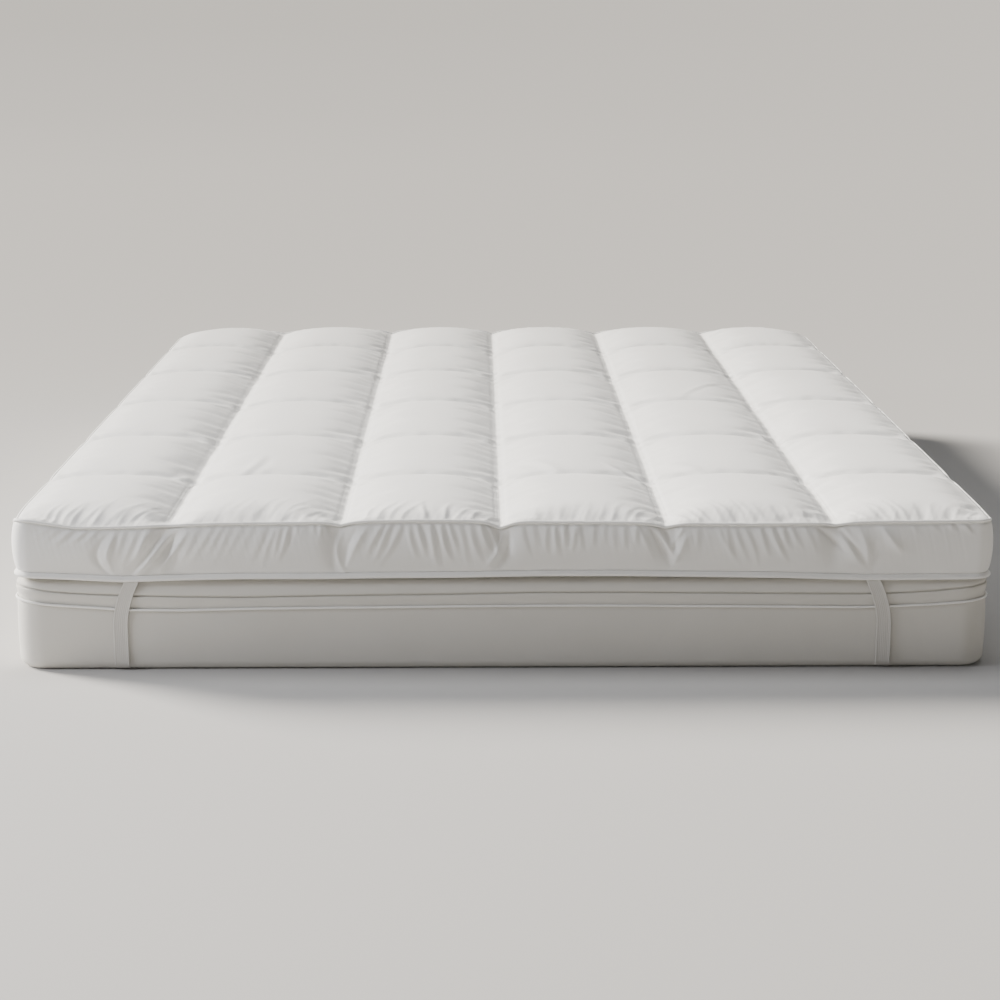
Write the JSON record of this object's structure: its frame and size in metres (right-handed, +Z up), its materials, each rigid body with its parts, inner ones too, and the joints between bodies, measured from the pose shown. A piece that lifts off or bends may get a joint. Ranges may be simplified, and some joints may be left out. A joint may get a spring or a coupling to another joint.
{
  "type": "mattress topper on mattress",
  "caption": "White quilted mattress topper with crowned square cells, piped top and bottom edges and elastic corner straps, lying on a plain mattress.",
  "frame": {"origin": "on the underside of the mattress, below the middle of the bed", "axes": "+Z up, +Y from the foot of the bed to its head, +X across it to the right, seen from the foot"},
  "size_m": [1.5438, 2.043, 0.2575],
  "materials": {
    "cover_cotton": "matte woven cotton",
    "piping_cotton": "matte cotton over cord",
    "strap_elastic": "flat woven elastic",
    "mattress_ticking": "matte knitted ticking",
    "mattress_tape": "woven binding tape"
  },
  "bodies": {
    "root": {"topper_pad": "cover_cotton", "topper_piping_top": "piping_cotton", "topper_piping_bottom": "piping_cotton", "strap_foot_left": "strap_elastic", "strap_foot_right": "strap_elastic", "strap_head_left": "strap_elastic", "strap_head_right": "strap_elastic", "mattress_body": "mattress_ticking", "mattress_tape": "mattress_tape", "mattress_piping": "mattress_tape"}
  },
  "joints": []
}
